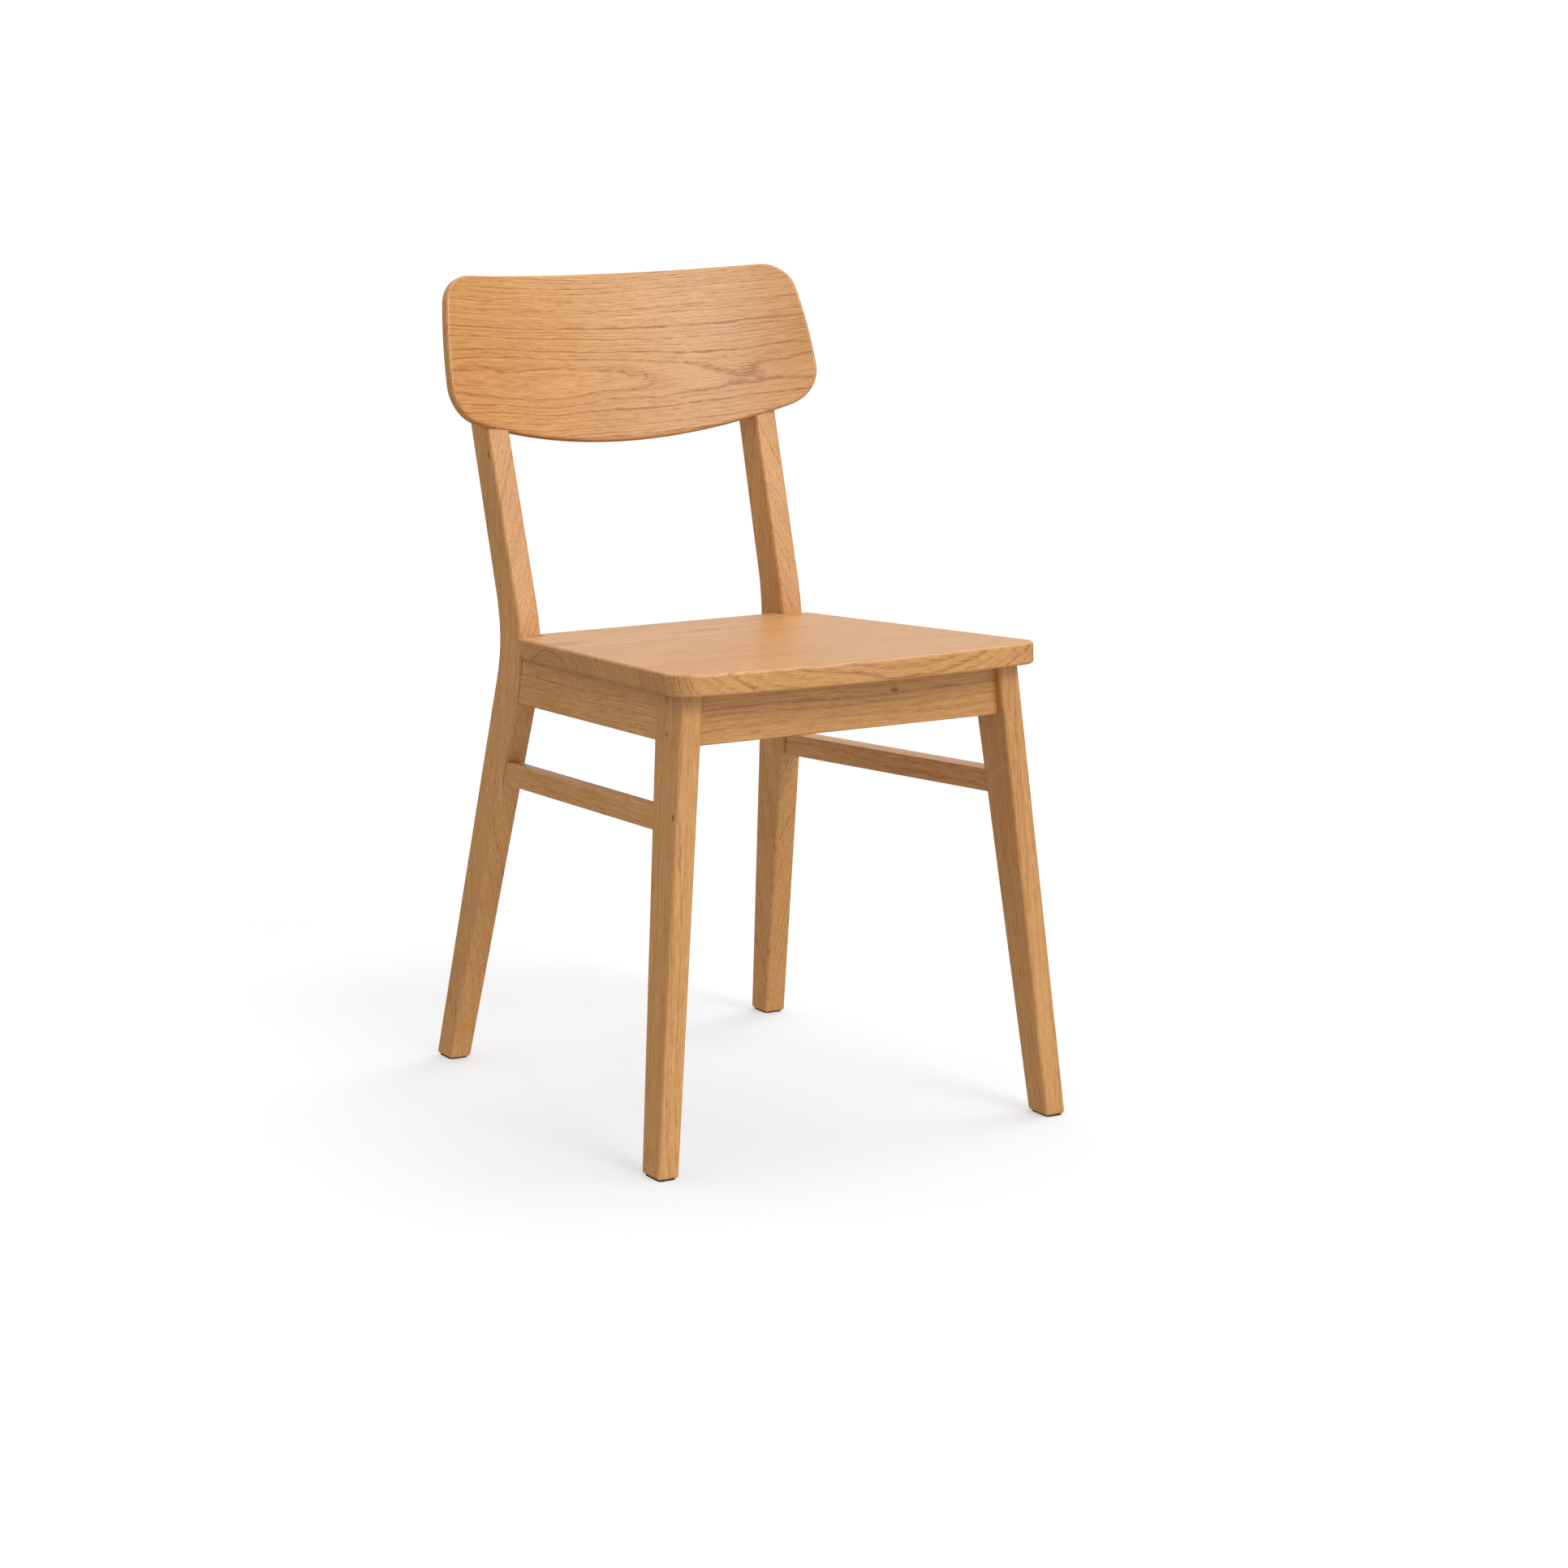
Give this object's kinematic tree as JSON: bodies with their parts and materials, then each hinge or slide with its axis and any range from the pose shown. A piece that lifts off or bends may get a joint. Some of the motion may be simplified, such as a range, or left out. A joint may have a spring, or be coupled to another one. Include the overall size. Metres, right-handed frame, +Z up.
{
  "type": "dining chair",
  "caption": "Wooden dining chair with a flat board seat, a low bent backrest let into two raked posts, splayed tapered legs, a seat frame and side stretchers.",
  "frame": {"origin": "on the floor, under the middle of the chair's bounding box", "axes": "+Z up, -Y the way the sitter faces, +X the sitter's left"},
  "size_m": [0.4524, 0.5389, 0.7999],
  "materials": {
    "oak": "satin clear lacquer",
    "dowel": "raw beech",
    "hardware": "zinc plated",
    "glide": "dark brown"
  },
  "bodies": {
    "root": {"seat_panel": "oak", "backrest_panel": "oak", "front_rail": "oak", "rear_rail": "oak", "front_leg_left": "oak", "front_leg_right": "oak", "rear_leg_left": "oak", "rear_leg_right": "oak", "side_rail_left": "oak", "side_rail_right": "oak", "side_stretcher_left": "oak", "side_stretcher_right": "oak", "corner_brace_front_left": "oak", "corner_brace_front_right": "oak", "corner_brace_rear_left": "oak", "corner_brace_rear_right": "oak", "backrest_plugs": "oak", "rail_dowels": "dowel", "stretcher_dowels": "dowel", "leg_bolts": "hardware", "leg_bolt_nuts": "hardware", "seat_screws": "hardware", "backrest_screws": "hardware", "glide_nails": "hardware", "foot_glide_front_left": "glide", "foot_glide_front_right": "glide", "foot_glide_rear_left": "glide", "foot_glide_rear_right": "glide"}
  },
  "joints": []
}
